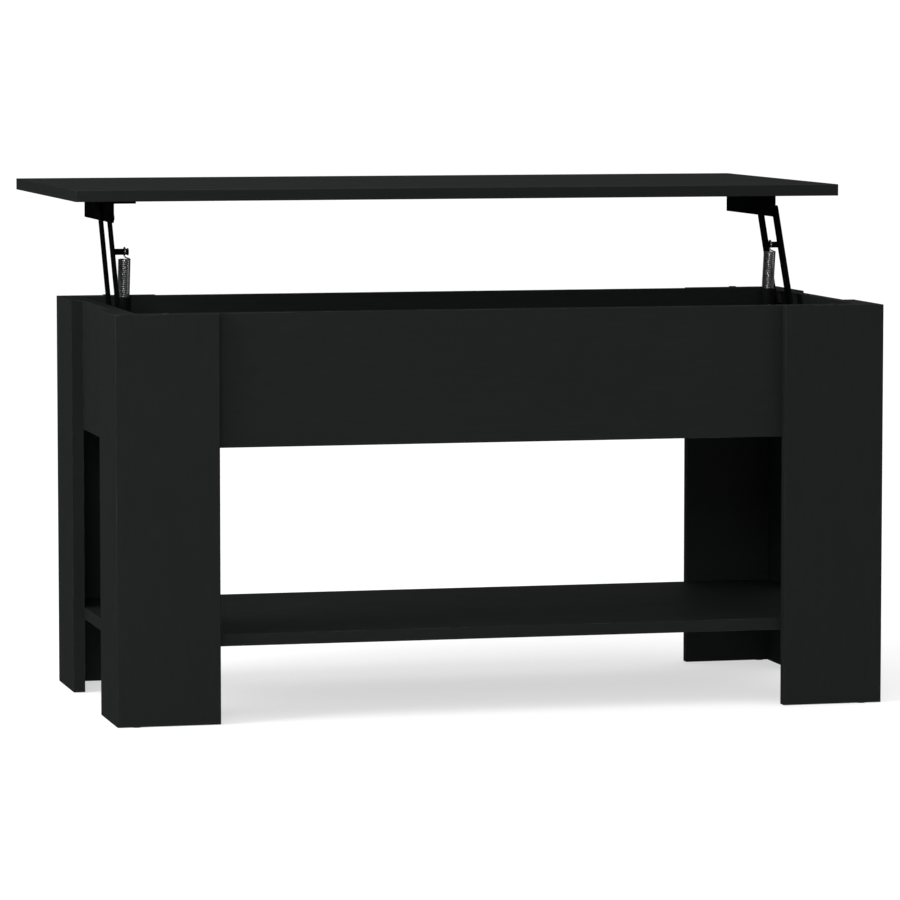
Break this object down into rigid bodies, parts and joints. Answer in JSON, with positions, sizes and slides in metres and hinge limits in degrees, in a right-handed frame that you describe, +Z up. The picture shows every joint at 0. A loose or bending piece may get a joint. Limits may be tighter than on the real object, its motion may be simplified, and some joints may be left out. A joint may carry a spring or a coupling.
{
  "type": "lift top coffee table",
  "caption": "Black coffee table with corner legs, a lower shelf and a storage box whose lid swings up and away level on spring-assisted parallel arms.",
  "frame": {"origin": "on the floor, under the middle of the table's outline with its lid raised, 134.5 mm behind the middle of the carcass", "axes": "+Z up, +X along the length to the right as seen by the sitter, +Y away from the sitter"},
  "size_m": [1.01, 0.721, 0.655],
  "materials": {
    "black_board": "satin black laminated particle board",
    "black_steel": "matt black powder coat",
    "spring_steel": "zinc plated wire",
    "sleeve_plastic": "matt black",
    "washer_nylon": "natural nylon",
    "zinc": "die cast zinc",
    "screw_steel": "zinc plated",
    "beech": "raw beech",
    "glide_plastic": "matt black",
    "bumper_rubber": "matt black"
  },
  "bodies": {
    "carcass": {"box_floor": "black_board", "shelf": "black_board", "front_apron": "black_board", "rear_apron": "black_board", "left_end_panel": "black_board", "right_end_panel": "black_board", "cam_locks": "zinc", "cam_bolts": "screw_steel", "leg_dowels": "beech", "floor_dowels": "beech", "leg_screws": "screw_steel", "foot_glides": "glide_plastic", "lid_bumpers": "bumper_rubber", "front_left_leg_face": "black_board", "front_left_leg_side": "black_board", "front_right_leg_face": "black_board", "front_right_leg_side": "black_board", "rear_left_leg_face": "black_board", "rear_left_leg_side": "black_board", "rear_right_leg_face": "black_board", "rear_right_leg_side": "black_board", "left_base_bracket": "black_steel", "left_base_screws": "screw_steel", "left_base_pivots": "black_steel", "left_base_washers": "washer_nylon", "left_anchor_pin": "black_steel", "right_base_bracket": "black_steel", "right_base_screws": "screw_steel", "right_base_pivots": "black_steel", "right_base_washers": "washer_nylon", "right_anchor_pin": "black_steel"},
    "left_front_arm": {"left_front_arm": "black_steel", "left_spring_pin": "black_steel"},
    "left_rear_arm": {"left_rear_arm": "black_steel"},
    "left_spring_guard": {"left_spring_sleeve": "sleeve_plastic"},
    "left_spring": {"left_spring": "spring_steel"},
    "right_front_arm": {"right_front_arm": "black_steel", "right_spring_pin": "black_steel"},
    "right_rear_arm": {"right_rear_arm": "black_steel"},
    "right_spring_guard": {"right_spring_sleeve": "sleeve_plastic"},
    "right_spring": {"right_spring": "spring_steel"},
    "lid": {"lid_panel": "black_board", "left_top_bracket": "black_steel", "left_top_screws": "screw_steel", "left_top_pivots": "black_steel", "left_top_washers": "washer_nylon", "right_top_bracket": "black_steel", "right_top_screws": "screw_steel", "right_top_pivots": "black_steel", "right_top_washers": "washer_nylon"}
  },
  "joints": [
    {"name": "lid_lift", "type": "hinge", "parent": "carcass", "child": "left_front_arm", "pos_m": [-0.4474, -0.12933, 0.47124], "axis": [1, 0, 0], "range_deg": [0, 113.27]},
    {"name": "lid_level", "type": "hinge", "parent": "left_front_arm", "child": "lid", "pos_m": [-0.4474, -0.0493, 0.6164], "axis": [1, 0, 0], "range_deg": [-113.3, 0]},
    {"name": "right_front_arm_turn", "type": "hinge", "parent": "carcass", "child": "right_front_arm", "pos_m": [0.4474, -0.12933, 0.47124], "axis": [1, 0, 0], "range_deg": [0, 113.3]},
    {"name": "left_rear_arm_turn", "type": "hinge", "parent": "carcass", "child": "left_rear_arm", "pos_m": [-0.4474, -0.05468, 0.48374], "axis": [1, 0, 0], "range_deg": [0, 113.3]},
    {"name": "left_spring_swing", "type": "hinge", "parent": "carcass", "child": "left_spring_guard", "pos_m": [-0.4322, -0.05208, 0.43674], "axis": [1, 0, 0], "range_deg": [0, 67.9]},
    {"name": "left_spring_stretch", "type": "slide", "parent": "left_spring_guard", "child": "left_spring", "axis": [0, -0.1618, 0.9868], "range_m": [0, 0.0596], "deforming": ["left_spring"]},
    {"name": "right_rear_arm_turn", "type": "hinge", "parent": "carcass", "child": "right_rear_arm", "pos_m": [0.4474, -0.05468, 0.48374], "axis": [1, 0, 0], "range_deg": [0, 113.3]},
    {"name": "right_spring_swing", "type": "hinge", "parent": "carcass", "child": "right_spring_guard", "pos_m": [0.4322, -0.05208, 0.43674], "axis": [1, 0, 0], "range_deg": [0, 67.9]},
    {"name": "right_spring_stretch", "type": "slide", "parent": "right_spring_guard", "child": "right_spring", "axis": [0, -0.1618, 0.9868], "range_m": [0, 0.0596], "deforming": ["right_spring"]}
  ],
  "couplings": [
    {"joint": "lid_level", "follows": "lid_lift", "ratio": -1},
    {"joint": "right_front_arm_turn", "follows": "lid_lift", "ratio": 1},
    {"joint": "left_rear_arm_turn", "follows": "lid_lift", "ratio": 1},
    {"joint": "left_spring_swing", "follows": "lid_lift", "ratio": 0.59813},
    {"joint": "left_spring_stretch", "follows": "lid_lift", "m_per_rad": 0.029972},
    {"joint": "right_rear_arm_turn", "follows": "lid_lift", "ratio": 1},
    {"joint": "right_spring_swing", "follows": "lid_lift", "ratio": 0.59813},
    {"joint": "right_spring_stretch", "follows": "lid_lift", "m_per_rad": 0.029972}
  ]
}
